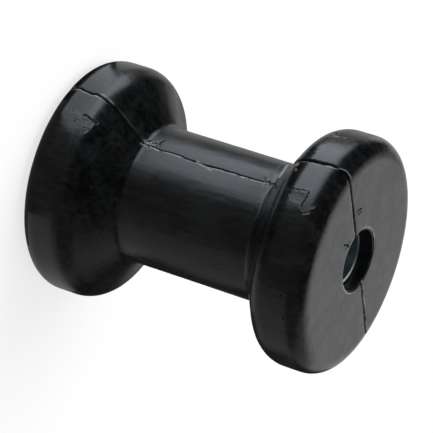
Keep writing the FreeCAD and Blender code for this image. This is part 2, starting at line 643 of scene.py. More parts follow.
@dataclass(frozen=True)
class SeamLook:
    """Form of the parting line at one height; its lips are on the +Y and on the -Y side."""

    height: float
    depth: float
    half_width: float
    near_lip: float
    far_lip: float
    wear_and_glint: float

    def towards(self, other: "SeamLook", share: float) -> "SeamLook":
        """Blend this look with another one, by the other's share."""
        pairs = zip(astuple(self), astuple(other))
        return SeamLook(*(mine + (theirs - mine) * share for mine, theirs in pairs))


@dataclass(frozen=True)
class PartingLine:
    """The mould's parting line: a thin groove between torn lips, not quite straight; the lips' light
    grey is partly wear and partly a painted highlight.
    """

    # Bold on the flanges, a wide valley with one ridge on the flanks, faint on the waist.
    # Each line: height, depth, half width, lip on the +Y side, lip on the -Y side, grey of the lips
    # as wear and painted highlight
    looks: tuple[SeamLook, ...] = (
        SeamLook(0.0, 1.00, 0.32, 0.08, 0.08, 0.8),
        SeamLook(5.0, 1.05, 0.33, 0.09, 0.03, 1.0),
        SeamLook(12.0, 1.15, 0.35, 0.09, 0.03, 1.0),
        SeamLook(16.5, 0.95, 0.40, 0.03, 0.08, 0.5),
        SeamLook(19.0, 0.70, 0.50, 0.0, 0.10, 0.1),
        SeamLook(25.5, 0.70, 0.55, 0.0, 0.10, 0.08),
        SeamLook(28.5, 0.55, 0.26, 0.14, 0.06, 0.9),
        SeamLook(34.0, 0.32, 0.17, 0.15, 0.0, 1.0),
        SeamLook(46.0, 0.50, 0.20, 0.14, 0.0, 0.8),
        SeamLook(52.0, 0.62, 0.24, 0.16, 0.0, 1.0),
        SeamLook(71.0, 0.42, 0.18, 0.15, 0.0, 1.0),
        SeamLook(74.0, 0.45, 0.26, 0.03, 0.03, 0.1),
        SeamLook(84.0, 1.10, 0.40, 0.06, 0.03, 0.5),
        SeamLook(89.0, 1.40, 0.43, 0.10, 0.03, 1.0),
        SeamLook(96.0, 1.20, 0.38, 0.10, 0.03, 1.0),
        SeamLook(98.0, 0.90, 0.28, 0.03, 0.04, 0.3),
        SeamLook(100.6, 0.90, 0.28, 0.03, 0.04, 0.25),
        SeamLook(101.6, 1.15, 0.33, 0.06, 0.03, 0.4),
    )
    # Share of the depth that the groove has, from place to place
    depth_share: Chance = Chance(1.0, 0.35, 0.22, (7.0, 0.0, 0.0))
    lip_gap: float = 0.32
    lip_width: float = 0.25
    # Share of the height that the lips have, on the +Y side and on the -Y side
    lip_shares: tuple[Chance, Chance] = (
        Chance(0.6, 1.1, 0.5, (0.0, 5.0, 9.0)), Chance(0.6, 1.1, 0.5, (0.0, 5.0, -9.0)),
    )
    least_lip_share: float = 0.1
    # A lower lip is whole skin, not torn and grey
    least_torn_lip: float = 0.04
    # The lips rise out of a shallow hollow, so that they stay inside the moulding's size
    hollow_width: float = 1.8
    # Sideways wander on the side seen: (height, millimetres)
    wander: tuple[tuple[float, float], ...] = (
        (0.0, 0.0), (5.8, -0.45), (8.4, 0.0), (10.7, 0.3), (12.7, 0.05), (14.7, 0.3),
        (17.5, 0.6), (22.0, 0.35), (26.5, 0.2), (30.0, 0.0), (33.5, 0.5), (38.6, 0.25),
        (44.7, 0.75), (50.0, 0.85), (58.0, 0.55), (66.0, 0.45), (70.0, 0.3), (72.6, -0.1),
        (84.3, 0.3), (86.9, 0.25), (90.0, 0.0), (97.0, -0.5), (98.4, -0.3), (99.6, -0.7),
        (101.6, 0.0),
    )
    # The skin is drawn along with the wander, wholly up to one distance and not past the other
    wander_hold: float = 0.9
    wander_reach: float = 8.0
    # Unevenness of the wander on both sides
    jitter: tuple[Chance, ...] = (Chance(0.0, 0.12, 0.9), Chance(0.0, 0.07, 2.3))
    # Wander of the side that isn't seen, and how far off the noise of that side is read
    hidden_wander: Chance = Chance(0.0, 0.5, 0.12)
    hidden_shift: float = 40.0

    @property
    def reach(self) -> float:
        """Distance from the groove's middle where its form ends."""
        return 2.5 * self.hollow_width

    def middle(self, radius: float, height: float, seen: bool) -> float:
        """Work out how far the groove's middle lies beside its plane.

        Args:
            radius: Distance from the axis, in millimetres.
            height: Height above the lower end.
            seen: True on the side whose wander is known.

        Returns:
            Distance round the roller in millimetres.
        """
        place = Vector((radius, 0.0 if seen else self.hidden_shift, height))
        jitter = sum(ripple.at(place) for ripple in self.jitter)
        if not seen:
            return self.hidden_wander.at(place) + jitter
        for (low, from_side), (high, to_side) in zip(self.wander, self.wander[1:]):
            if height <= high:
                rise = smooth_step(height, low, high)
                return from_side + (to_side - from_side) * rise + jitter
        return jitter

    def look_at(self, height: float) -> SeamLook:
        """Find the line's look at a height.

        Args:
            height: Height above the lower end, in millimetres.

        Returns:
            The look, blended from the two known ones beside it.
        """
        for low, high in zip(self.looks, self.looks[1:]):
            if height <= high.height:
                return low.towards(high, smooth_step(height, low.height, high.height))
        return self.looks[-1]

    def relief(self, side: float, place: Vector) -> tuple[float, float]:
        """Work out the skin's form beside the line.

        Args:
            side: Distance from the middle of the groove, in millimetres.
            place: Point of the skin, in millimetres.

        Returns:
            Height above the plain skin, never above 0, and the grey of the lip, partly wear and
            partly painted highlight.
        """
        look = self.look_at(place.z)
        groove = look.depth * self.depth_share.at(place) * bell(side, look.half_width)
        near = side > 0
        lip = look.near_lip if near else look.far_lip
        crest = clamp(self.lip_shares[0 if near else 1].at(place), self.least_lip_share)
        crest *= bell(abs(side) - look.half_width - self.lip_gap, self.lip_width)
        hollow = max(look.near_lip, look.far_lip) * bell(side, self.hollow_width)
        wear_and_glint = look.wear_and_glint * crest if lip > self.least_torn_lip else 0.0
        return lip * crest - groove - hollow, wear_and_glint


@dataclass(frozen=True)
class Score:
    """A thin mark in the skin: a knit line, a crack, a scratch, a torn flash or a painted highlight
    on a low ridge.
    """

    places: tuple[SkinPlace, ...]
    skin: Skin = Skin.SIDE
    depth: float = 0.14
    width: float = 0.16
    lip: float = 0.05
    lip_gap: float = 0.24
    lip_width: float = 0.16
    wear_and_glint: float = 0.3
    # Share by which the mark comes and goes along its length, and how often in a millimetre
    patchy: float = 0.5
    patch_rate: float = 1.1

    def trail(self, form: RollerForm, pitch: float = 0.1) -> list[Vector]:
        """Lay points close together along the mark.

        Args:
            form: The roller's sizes.
            pitch: Distance between the points, in millimetres.

        Returns:
            Points of the skin, in millimetres.
        """
        trail = []
        for start, end in zip(self.places, self.places[1:]):
            run = math.dist(start, end)
            steps = max(1, round(run / pitch))
            for step in range(steps + 1):
                share = step / steps
                across, up = (low + (high - low) * share for low, high in zip(start, end))
                trail.append(form.point(self.skin, (across, up)))
        return trail

    def relief(self, side: float, place: Vector) -> tuple[float, float]:
        """Work out the skin's form beside the mark.

        Args:
            side: Distance from the mark's middle, in millimetres.
            place: Point of the skin, in millimetres.

        Returns:
            Height above the plain skin and the grey of the mark's lip: wear, or a painted highlight
            on the bright lines.
        """
        swell = clamp(Chance(1 - self.patchy, 2 * self.patchy, self.patch_rate).at(place))
        crest = swell * bell(side - self.lip_gap, self.lip_width)
        return self.lip * crest - self.depth * swell * bell(side, self.width), self.wear_and_glint * crest

    @property
    def reach(self) -> float:
        """Distance from the mark's middle where its form ends."""
        return self.lip_gap + 2 * self.lip_width


@dataclass(frozen=True)
class Patch:
    """A stretch of the side's skin that looks unlike the rest."""

    low: SkinPlace
    high: SkinPlace
    blur: float = 0.4
    polish: float = 0.0
    # Depth of its pits, where they begin and are full, and the share of finer ones
    pitting: float = 0.0
    pit_range: tuple[float, float] = (0.25, 0.55)
    pit_size: float = 0.5
    fine_pits: float = 0.5
    fine_pit_step: float = 2.1
    wear_and_glint: float = 0.0
    # Between the pits: how low the noise is where the wear begins and is full
    wear_range: tuple[float, float] = (0.2, 0.6)
    # The pitted skin comes in islands
    islands: Chance = Chance(0.0, 1.0, 0.55)
    island_range: tuple[float, float] = (-0.15, 0.25)
    # Hollow past the edge that is further round: its depth, where it is deepest, its width
    dip: float = 0.0
    dip_way: float = 2.2
    dip_width: float = 1.76

    def cover(self, around: float, height: float) -> float:
        """Work out how far a place of the skin belongs to the patch.

        Args:
            around: Way round from the seam, in millimetres.
            height: Height above the lower end.

        Returns:
            Share from 0 to 1.
        """
        share = 1.0
        for value, low, high in zip((around, height), self.low, self.high):
            share *= smooth_step(value, low - self.blur, low + self.blur)
            share *= 1 - smooth_step(value, high - self.blur, high + self.blur)
        return share

    def relief(self, place: Vector) -> tuple[float, float]:
        """Work out the skin's form in the patch.

        Args:
            place: Point of the skin, in millimetres.

        Returns:
            Height above the plain skin and the wear there.
        """
        rough = two_scales(place, self.pit_size, self.fine_pits, self.fine_pit_step)
        pit = smooth_step(rough, *self.pit_range)
        torn = smooth_step(self.islands.at(place), *self.island_range)
        return -self.pitting * pit * torn, self.wear_and_glint * torn * smooth_step(-rough, *self.wear_range)

    def hollow(self, around: float, height: float) -> float:
        """Work out the hollow in the skin just past the patch.

        Args:
            around: Way round from the seam, in millimetres.
            height: Height above the lower end.

        Returns:
            Depth in millimetres.
        """
        past = around - self.high[0]
        if not self.dip or past < 0:
            return 0.0
        along = smooth_step(height, self.low[1], self.low[1] + self.dip_way)
        along *= 1 - smooth_step(height, self.high[1] - self.dip_way, self.high[1])
        return self.dip * along * bell(past - self.dip_way, self.dip_width)

    def trail(self, form: RollerForm, pitch: float = 0.8) -> list[Vector]:
        """Spread points over the patch.

        Args:
            form: The roller's sizes.
            pitch: Distance between the points, in millimetres.

        Returns:
            Points of the skin, in millimetres.
        """
        trail = []
        across, up = (high - low for low, high in zip(self.low, self.high))
        for row in range(round(up / pitch) + 1):
            for column in range(round(across / pitch) + 1):
                place = (self.low[0] + column * pitch, self.low[1] + row * pitch)
                trail.append(form.point(Skin.SIDE, place))
        return trail


@dataclass(frozen=True)
class MouldMarks:
    """What the mould and the handling left on the side that is seen, with a few painted highlights.
    """

    scores: tuple[Score, ...] = (
        # Knit line beside the lower flange's smooth patch
        Score(((8.6, 5.9), (9.1, 8.5), (8.8, 10.4), (9.3, 12.4)), depth=0.25, width=0.2),
        Score(((9.2, 12.4), (8.9, 13.6), (9.4, 15.2), (9.1, 17.4)), depth=0.7,
              width=0.26, lip_gap=0.4, wear_and_glint=0.12, patchy=0.15),
        Score(((10.4, 16.6), (12.9, 16.2), (14.3, 15.6)), depth=0.05),
        Score(((-13.6, 8.6), (-14.4, 11.0), (-13.9, 13.6)), depth=0.1, wear_and_glint=0.1),
        # Torn flash and small cracks at both ends of the waist
        Score(((-0.9, 27.4), (-2.2, 28.4), (-1.1, 29.6), (-2.0, 30.6), (-0.6, 31.4)),
              depth=0.9, width=0.26, lip=0.12, lip_gap=0.42, lip_width=0.12, wear_and_glint=0.8,
              patchy=0.35),
        Score(((0.3, 27.8), (1.0, 29.4), (0.4, 31.0), (0.9, 32.6)), depth=0.6,
              width=0.2, lip=0.1, lip_gap=0.36, lip_width=0.12, wear_and_glint=0.8),
        Score(((-1.0, 31.3), (-2.6, 31.8), (-4.1, 32.3)), depth=0.9, width=0.25,
              lip_gap=0.4, wear_and_glint=0.2, patchy=0.1),
        Score(((0.7, 47.0), (1.1, 48.6), (1.4, 50.5), (1.8, 52.9)), depth=0.4,
              lip_width=0.2, wear_and_glint=1.0, patchy=0.3),
        Score(((1.2, 63.0), (1.0, 66.0), (0.9, 69.5)), depth=0.03, wear_and_glint=0.7),
        Score(((3.6, 71.7), (0.9, 71.1), (-3.9, 71.3), (-9.7, 70.9)), depth=0.08),
        # Bright lines on the foot and the back of the upper flange, painted highlights on low
        # ridges; then torn flash, a bright speck and a pit
        Score(((-3.4, 74.1), (-7.9, 73.2), (-12.7, 72.0)), depth=0.0, lip=0.1,
              lip_gap=0.0, lip_width=0.42, wear_and_glint=1.0, patchy=0.1),
        Score(((4.4, 80.6), (1.0, 80.8), (-3.2, 81.8)), depth=0.0, lip=0.1,
              lip_gap=0.0, lip_width=0.4, wear_and_glint=1.0, patchy=0.1),
        Score(((-1.6, 70.4), (0.2, 71.2), (-1.0, 72.2), (0.9, 73.0), (-0.4, 74.0), (1.4, 75.2)),
              depth=0.7, width=0.24, lip=0.1, lip_gap=0.36, lip_width=0.12, wear_and_glint=0.6,
              patchy=0.4),
        Score(((1.9, 84.6), (2.4, 85.0)), depth=0.0, lip=0.12, lip_gap=0.0,
              lip_width=0.4, wear_and_glint=1.0, patchy=0.0),
        Score(((4.2, 85.3), (4.9, 86.0)), depth=0.2, lip=0.0, patchy=0.0),
        # Edge of the upper flange's smooth patch, with the step that turns off it
        Score(((11.9, 85.6), (11.5, 88.0), (11.7, 89.6), (11.3, 91.4), (11.3, 93.6)),
              depth=0.22, width=0.28, lip_gap=0.4, wear_and_glint=0.1, patchy=0.45),
        Score(((11.3, 93.6), (12.6, 93.5), (13.9, 93.5), (15.3, 93.3), (16.6, 93.1)),
              depth=0.3, width=0.3, lip_gap=0.45, wear_and_glint=0.25, patchy=0.35),
        Score(((14.0, 88.1), (15.2, 89.5), (16.0, 91.0)), depth=0.08, wear_and_glint=0.15),
        # Scratches below it
        Score(((17.4, 94.1), (16.5, 95.7), (15.2, 97.1)), depth=0.2, wear_and_glint=0.18, patchy=0.2),
        Score(((18.4, 94.9), (17.5, 96.5)), depth=0.25, wear_and_glint=0.18, patchy=0.2),
        # Nick and torn line at the top of the upper flange
        Score(((-18.4, 86.7), (-17.4, 88.2)), depth=0.4, width=0.35, lip=0.0,
              lip_gap=0.6, patchy=0.0),
        Score(((-13.4, 85.2), (-14.2, 86.6), (-15.0, 89.1), (-15.7, 92.2)), depth=0.1,
              width=0.2, wear_and_glint=0.5),
        Score(((-0.4, 97.2), (-0.9, 98.5), (-1.5, 99.9), (-1.3, 101.2)), depth=0.0,
              lip=0.08, lip_gap=0.0, lip_width=0.12, wear_and_glint=0.7, patchy=0.15),
        # Pits of the upper rim
        Score(((43.9, 94.7), (44.3, 95.2)), depth=0.3, width=0.25, wear_and_glint=0, patchy=0),
        Score(((51.4, 95.9), (51.9, 96.5)), depth=0.3, width=0.25, wear_and_glint=0, patchy=0),
        Score(((46.7, 91.3), (47.0, 91.6)), depth=0.2, width=0.2, wear_and_glint=0, patchy=0),
        # Strokes and the crack at the mouth, on the end face
        Score(((19.1, -2.4), (18.9, -3.8), (18.1, -5.0)), Skin.FACE, depth=0.8, width=0.26,
              lip_gap=0.4, wear_and_glint=0.12, patchy=0.1),
        Score(((17.5, -2.9), (17.3, -4.6)), Skin.FACE, depth=0.6, width=0.22, lip_gap=0.4,
              wear_and_glint=0.12, patchy=0.1),
        Score(((13.8, 7.4), (12.1, 5.6), (10.7, 4.8)), Skin.FACE, depth=0.9, width=0.26,
              lip_gap=0.4, wear_and_glint=0.12, patchy=0.1),
        Score(((12.4, 3.9), (11.6, 5.3), (11.4, 6.6)), Skin.FACE, depth=0.6, width=0.22,
              lip_gap=0.4, wear_and_glint=0.12, patchy=0.1),
    )
    patches: tuple[Patch, ...] = (
        # Smooth skin between the seam and each flange's knit line
        Patch((0.8, 5.2), (9.0, 16.4), blur=0.25, polish=0.6, dip=0.08),
        Patch((0.8, 85.2), (11.5, 94.4), blur=0.25, polish=1.0, dip=0.14),
        Patch((-13.0, 86.0), (-1.0, 94.8), blur=1.2, polish=0.6),
        # Smooth skin of the upper flank, where the mould was polished
        Patch((-6.0, 72.0), (60.0, 83.5), blur=0.8, polish=1.0),
        # Torn, pitted skin past the lower flange's knit line
        Patch((10.2, 9.8), (15.2, 15.8), blur=1.4, pitting=0.25, wear_and_glint=0.22),
    )


@dataclass
class RubberBody:
    """The one-piece rubber moulding, with its parting line and the marks of its mould."""

    form: RollerForm
    finish: MouldedRubber = field(default_factory=MouldedRubber)
    seam: PartingLine = field(default_factory=PartingLine)
    marks: MouldMarks = field(default_factory=MouldMarks)
    row_pitch: float = 0.85
    mouth_pitch: float = 0.25
    mouth_border: float = 1.25
    # Columns of the mesh beside each parting line, in millimetres from its middle
    seam_columns: tuple[float, ...] = (0.0, 0.1, 0.2, 0.31, 0.45, 0.62, 0.85, 1.3, 2.0, 3.0)
    quarter_columns: int = 50
    # Up to this column beside a parting line, each row is divided by so many cuts
    cut_columns: int = 7
    seam_cuts: int = 2
    # Faces are halved three times towards each mark, within these distances from it
    mark_reaches: tuple[float, ...] = (1.4, 0.9, 0.55)
    # A shorter edge is halved no more
    shortest_edge: float = 0.15
    # Slow waves of the skin and the shorter dimples between them: (depth, size)
    waves: tuple[tuple[float, float], ...] = ((0.06, 13.0), (0.06, 4.2), (0.03, 1.8))
    # Low torn lip of the mouth, on two opposite sides, and the hollow that it rises out of; its
    # light grey is a painted highlight
    mouth_lip: float = 0.07
    mouth_lip_gap: float = 0.25
    mouth_lip_width: float = 0.14
    mouth_lip_wear_and_glint: float = 0.9
    mouth_lip_share: Chance = Chance(0.7, 1.0, 0.6)
    mouth_lip_way: float = math.radians(120)
    # Cosine of the way from those sides where the lip begins and where it is whole
    mouth_lip_range: tuple[float, float] = (0.72, 0.95)
    mouth_hollow_width: float = 0.75
    # The end faces are scuffed a little, in clouds of this size and in a share of finer ones
    scuff: float = 0.03
    scuff_size: float = 5.0
    scuff_range: tuple[float, float] = (-0.4, 0.6)
    fine_scuffs: float = 0.6
    fine_scuff_step: float = 2.7
    # The mouth's wall and the liner's seat stay plain, with what is this close outside them
    plain_gap: float = 0.01
    # Edges of the mouth that turn by more than this stay sharp
    sharp_angle: float = math.radians(30)

    def outline(self, mesh: bmesh.types.BMesh) -> None:
        """Draw the whole closed outline of the moulding's section.

        Args:
            mesh: Empty bmesh that takes the chain of edges.
        """
        form = self.form
        middle = form.length / 2
        start = mesh.verts.new(Vector((form.liner_radius, 0, middle)) * MM)
        pen = OutlinePen(mesh, start, self.row_pitch)
        turn = form.flank_slope
        corner_centre = form.rim_radius - form.inner_corner
        foot_start = form.foot_centre - form.foot * math.sin(turn)

        pen.line(form.liner_radius, form.liner_setback, pitch=form.liner_setback)
        pen.line(form.mouth_radius, form.liner_setback)
        pen.line(form.mouth_radius, form.mouth_chamfer)
        pen.line(form.mouth_edge, 0, pitch=form.mouth_chamfer / 2)
        pen.line(form.mouth_edge + self.mouth_border, 0, pitch=self.mouth_pitch)
        pen.line(form.rim_radius - form.end_corner, 0)
        pen.arc(form.rim_radius - form.end_corner, form.end_corner, math.pi / 2)
        pen.line(form.rim_radius, form.corner_height)
        pen.arc(corner_centre, form.corner_height, turn)
        pen.line(form.skin_radius(foot_start), foot_start)
        pen.arc(form.waist_radius + form.foot, form.foot_centre, -turn)
        pen.line(form.waist_radius, middle)

        to_middle = Vector((0, 0, middle)) * MM
        bmesh.ops.translate(mesh, verts=mesh.verts[:], vec=-to_middle)
        bmesh.ops.mirror(
            mesh, geom=mesh.verts[:] + mesh.edges[:], axis="Z", merge_dist=10 * MERGE_GAP * MM
        )
        bmesh.ops.translate(mesh, verts=mesh.verts[:], vec=to_middle)

    def column_of(self, vert: bmesh.types.BMVert) -> int:
        """Number of the mesh column that a point of the plain spun moulding is in."""
        pitch = math.pi / 2 / self.quarter_columns
        return round(math.atan2(vert.co.y, vert.co.x) / pitch) % (4 * self.quarter_columns)

    def steps_from_seam(self, column: int) -> int:
        """Number of columns between a column and the nearer parting line."""
        rest = column % (2 * self.quarter_columns)
        return min(rest, 2 * self.quarter_columns - rest)

    def column_angle(self, column: int, radius: float) -> float:
        """Angle of a mesh column, with the columns gathered beside the two parting lines.

        Args:
            column: Number of the column, counted from the seam that is seen.
            radius: Distance of the point from the axis, in millimetres.

        Returns:
            Angle about the axis in radians.
        """
        quarter = column // self.quarter_columns
        step = self.steps_from_seam(column)
        last = len(self.seam_columns) - 1
        gathered = self.seam_columns[last] / radius
        if step <= last:
            angle = self.seam_columns[step] / radius
        else:
            share = (step - last) / (self.quarter_columns - last)
            angle = gathered + (math.pi / 2 - gathered) * share
        if quarter % 2 == 1:
            return (quarter + 1) * math.pi / 2 - angle
        return quarter * math.pi / 2 + angle

    def gather_columns(
        self, mesh: bmesh.types.BMesh, columns: dict[bmesh.types.BMVert, int]
    ) -> None:
        """Turn each mesh column to its own angle, and draw it along with the seam's wander.

        Args:
            mesh: The spun moulding.
            columns: Number of the column of each point.
        """
        for vert in mesh.verts:
            radius = math.hypot(vert.co.x, vert.co.y) / MM
            angle = self.column_angle(columns[vert], radius)
            side = abs(math.remainder(angle, math.pi)) * radius
            hold = 1 - smooth_step(side, self.seam.wander_hold, self.seam.wander_reach)
            seen = math.cos(angle) > 0
            angle += self.seam.middle(radius, vert.co.z / MM, seen) * hold / radius
            vert.co.x = radius * math.cos(angle) * MM
            vert.co.y = radius * math.sin(angle) * MM

    def divide(self, mesh: bmesh.types.BMesh, edges: list[bmesh.types.BMEdge], cuts: int) -> None:
        """Divide edges and the faces between them, with the new points on the round surface.

        Args:
            mesh: The moulding.
            edges: Edges to divide.
            cuts: Number of new points on each.
        """
        mesh.normal_update()
        bmesh.ops.subdivide_edges(
            mesh, edges=edges, cuts=cuts, smooth=1.0, smooth_falloff="LINEAR", use_grid_fill=True
        )

    def refine(
        self, mesh: bmesh.types.BMesh, columns: dict[bmesh.types.BMVert, int]
    ) -> None:
        """Make the mesh finer beside the parting lines and under the marks.

        Args:
            mesh: The moulding, with its columns gathered.
            columns: Number of the column of each point.
        """
        inside = (self.form.mouth_edge + self.mouth_border) * MM
        along_seam = []
        for edge in mesh.edges:
            low, high = edge.verts
            outside = min(low.co.xy.length, high.co.xy.length) > inside
            near = self.steps_from_seam(columns[low]) <= self.cut_columns
            if outside and near and columns[low] == columns[high]:
                along_seam.append(edge)
        self.divide(mesh, along_seam, self.seam_cuts)

        pitted = [patch for patch in self.marks.patches if patch.pitting > 0]
        trails = [thing.trail(self.form) for thing in (*self.marks.scores, *pitted)]
        for reach in self.mark_reaches:
            mesh.faces.ensure_lookup_table()
            tree = kdtree.KDTree(len(mesh.faces))
            for face in mesh.faces:
                tree.insert(face.calc_center_median() / MM, face.index)
            tree.balance()
            chosen = set()
            for trail in trails:
                for point in trail:
                    chosen.update(index for _, index, _ in tree.find_range(point, reach))
            edges = {edge for index in chosen for edge in mesh.faces[index].edges}
            short = self.shortest_edge * MM
            self.divide(mesh, [edge for edge in edges if edge.calc_length() > short], 1)
            mesh.faces.index_update()

    def mouth_relief(self, place: Vector) -> tuple[float, float]:
        """Work out the form of the torn lip round the mouth.

        Args:
            place: Point of the skin, in millimetres.

        Returns:
            Height above the plain skin and the lip's painted highlight.
        """
        outside = place.xy.length - self.form.mouth_edge
        turn = math.atan2(place.y, place.x) - self.mouth_lip_way
        crest = bell(outside - self.mouth_lip_gap, self.mouth_lip_width)
        crest *= clamp(self.mouth_lip_share.at(place))
        crest *= smooth_step(abs(math.cos(turn)), *self.mouth_lip_range)
        hollow = bell(outside, self.mouth_hollow_width)
        return self.mouth_lip * (crest - hollow), self.mouth_lip_wear_and_glint * crest

    def scuff_wear(self, place: Vector) -> float:
        """Work out the wear of the scuff clouds on the end faces.

        Args:
            place: Point of the skin, in millimetres.

        Returns:
            The wear, which is 0 away from the end faces.
        """
        if min(place.z, self.form.length - place.z) >= self.form.mouth_chamfer / 2:
            return 0.0
        cloud = two_scales(place, self.scuff_size, self.fine_scuffs, self.fine_scuff_step)
        return self.scuff * smooth_step(cloud, *self.scuff_range)

    def skin_form(self, place: Vector) -> tuple[float, float, float]:
        """Work out the skin's form and looks at a point, apart from the thin marks.

        Args:
            place: Point of the plain skin, in millimetres.

        Returns:
            Height above the plain skin in millimetres, the wear with its painted highlights, and the
            polish.
        """
        radius = place.xy.length
        angle = math.atan2(place.y, place.x)
        around = math.remainder(angle, math.pi) * radius
        seen = abs(angle) < math.pi / 2
        rise = sum(deep * (noise.noise(place / size) - 1) / 2 for deep, size in self.waves)
        mouth_rise, wear_and_glint = self.mouth_relief(place)
        rise += mouth_rise
        wear_and_glint += self.scuff_wear(place)
        polish = 0.0
        side = around - self.seam.middle(radius, place.z, seen)
        if abs(side) < self.seam.reach:
            seam_rise, seam_wear_and_glint = self.seam.relief(side, place)
            rise += seam_rise
            wear_and_glint += seam_wear_and_glint
        for patch in self.marks.patches if seen else ():
            rise -= patch.hollow(around, place.z)
            cover = patch.cover(around, place.z)
            if cover > 0:
                patch_rise, patch_wear = patch.relief(place)
                rise += cover * patch_rise
                wear_and_glint += cover * patch_wear
                polish = max(polish, cover * patch.polish)
        return rise, wear_and_glint, polish

    def press(self, mesh: bmesh.types.BMesh) -> None:
        """Press the parting line, the marks and the mould's slow waviness into the skin.

        Args:
            mesh: The refined moulding.
        """
        mesh.normal_update()
        mesh.verts.index_update()
        mesh.verts.ensure_lookup_table()
        polish_layer = mesh.verts.layers.float.new("polish")
        wear_and_glint_layer = mesh.verts.layers.float.new("wear_and_glint")
        rise = [0.0] * len(mesh.verts)
        wear_and_glint = [0.0] * len(mesh.verts)
        tree = kdtree.KDTree(len(mesh.verts))
        for vert in mesh.verts:
            place = vert.co / MM
            tree.insert(place, vert.index)
            if place.xy.length >= self.form.mouth_radius + self.plain_gap:
                rise[vert.index], wear_and_glint[vert.index], vert[polish_layer] = self.skin_form(place)
        tree.balance()

        for score in self.marks.scores:
            sides: dict[int, float] = {}
            for point in score.trail(self.form):
                for _, index, gap in tree.find_range(point, score.reach):
                    sides[index] = min(gap, sides.get(index, gap))
            for index, side in sides.items():
                score_rise, score_wear_and_glint = score.relief(side, mesh.verts[index].co / MM)
                rise[index] += score_rise
                wear_and_glint[index] += score_wear_and_glint

        for vert in mesh.verts:
            vert.co += vert.normal * min(rise[vert.index], 0.0) * MM
            vert[wear_and_glint_layer] = min(wear_and_glint[vert.index], 1.0)

    def build(self) -> bpy.types.Object:
        """Model the moulding and dress it.

        Returns:
            The finished piece, riding on the roller's one body.
        """
        mesh = bmesh.new()
        self.outline(mesh)
        spin_round(mesh, 4 * self.quarter_columns)
        columns = {vert: self.column_of(vert) for vert in mesh.verts}
        self.gather_columns(mesh, columns)
        self.refine(mesh, columns)
        self.press(mesh)
        for face in mesh.faces:
            face.smooth = True
        mouth = (self.form.mouth_edge + self.mouth_pitch / 2) * MM
        for edge in mesh.edges:
            if max(vert.co.xy.length for vert in edge.verts) < mouth:
                edge.smooth = edge.calc_face_angle(0) < self.sharp_angle
        piece = mesh_object("rubber_moulding", mesh, self.finish.material())
        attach(piece, "root")
        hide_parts("roller_body")
        piece.data.calc_loop_triangles()
        log.info("rubber moulding: %d triangles", len(piece.data.loop_triangles))
        return piece


@dataclass
class LinerTube:
    """The steel tube that the shaft turns in, with its two cut ends chamfered."""

    form: RollerForm
    finish: ZincPlatedSteel = field(default_factory=ZincPlatedSteel)
    columns: int = 128
    # Edges that turn by more than this angle are broken
    edge_break: float = 0.3
    sharp_angle: float = math.radians(60)
    # Azimuth of the side where the sawn end is painted lit; towards the other side it is painted in
    # shade, down to the least share
    bright_side: float = math.radians(137)
    # Cosine of the way from that side where the end starts to brighten and where it is bright
    bright_range: tuple[float, float] = (-0.2, 0.8)
    shaded_cut_share: float = 0.12

    def build(self) -> bpy.types.Object:
        """Model the tube and dress it.

        Returns:
            The finished piece, riding on the roller's one body.
        """
        form = self.form
        inner = form.liner_radius - form.liner_wall
        top = form.length - form.liner_setback
        mesh = bmesh.new()
        start = mesh.verts.new(Vector((inner, 0, form.liner_setback)) * MM)
        pen = OutlinePen(mesh, start, form.length)
        pen.line(form.liner_radius, form.liner_setback)
        pen.line(form.liner_radius, top)
        pen.line(inner, top)
        pen.line(inner, form.liner_setback)
        bmesh.ops.remove_doubles(mesh, verts=mesh.verts[:], dist=MERGE_GAP * MM)
        spin_round(mesh, self.columns)
        rings = [edge for edge in mesh.edges if edge.calc_face_angle(0) > self.sharp_angle]
        bmesh.ops.bevel(
            mesh, geom=rings, offset=self.edge_break * MM, affect="EDGES", segments=2,
            profile=0.5, material=-1,
        )
        layer = mesh.verts.layers.float.new("cut_with_light")
        for vert in mesh.verts:
            below_end = min(vert.co.z / MM - form.liner_setback, top - vert.co.z / MM)
            around = math.cos(math.atan2(vert.co.y, vert.co.x) - self.bright_side)
            # Painted light on the sawn end, fading to painted shade away from the lit side
            bright = smooth_step(around, *self.bright_range)
            bright = self.shaded_cut_share + (1 - self.shaded_cut_share) * bright
            vert[layer] = bright if below_end < self.edge_break / 2 else 0.0
        for face in mesh.faces:
            face.smooth = True
        piece = mesh_object("steel_liner", mesh, self.finish.material())
        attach(piece, "root")
        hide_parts("liner_tube")
        log.info("steel liner: %d faces", len(piece.data.polygons))
        return piece


@dataclass(frozen=True)
class SoftBox:
    """A soft rectangular lamp that faces a point of the roller's axis and shows in no gloss."""

    name: str
    azimuth: float
    elevation: float
    distance: float
    width: float
    height: float
    # Radiance of the lamp's face, where 1 is white
    brightness: float
    aim_height: float = 50.0

    def place(self) -> bpy.types.Object:
        """Add the lamp to the scene.

        Returns:
            The lamp's object.
        """
        data = bpy.data.lights.new(self.name, "AREA")
        data.shape = "RECTANGLE"
        data.size = self.width * MM
        data.size_y = self.height * MM
        area = self.width * self.height * MM * MM
        data.energy = self.brightness * math.pi * area
        lamp = link_object(self.name, data)
        away = direction(self.azimuth, self.elevation)
        lamp.location = (Vector((0, 0, self.aim_height)) + away * self.distance) * MM
        lamp.rotation_euler = away.to_track_quat("Z", "Y").to_euler()
        lamp.visible_camera = False
        lamp.visible_glossy = False
        return lamp


@dataclass(frozen=True)
class FloorCard:
    """A card cut to shape that lies flat over the floor."""

    card: StudioCard
    # From back to front: X, then the Y of its left edge and of its right edge, in millimetres
    rows: tuple[tuple[float, float, float], ...]
    lift: float = 1.0

    def place(self) -> bpy.types.Object:
        """Lay the card on the floor.

        Returns:
            The card, staged.
        """
        mesh = bmesh.new()
        bmesh.ops.create_grid(mesh, x_segments=1, y_segments=len(self.rows) - 1, size=0.5)
        corners = [(across, forward) for forward, *edges in self.rows for across in edges]
        for vert, corner in zip(mesh.verts, corners):
            vert.co = Vector((*corner, self.lift)) * MM
        return self.card.stage(mesh)


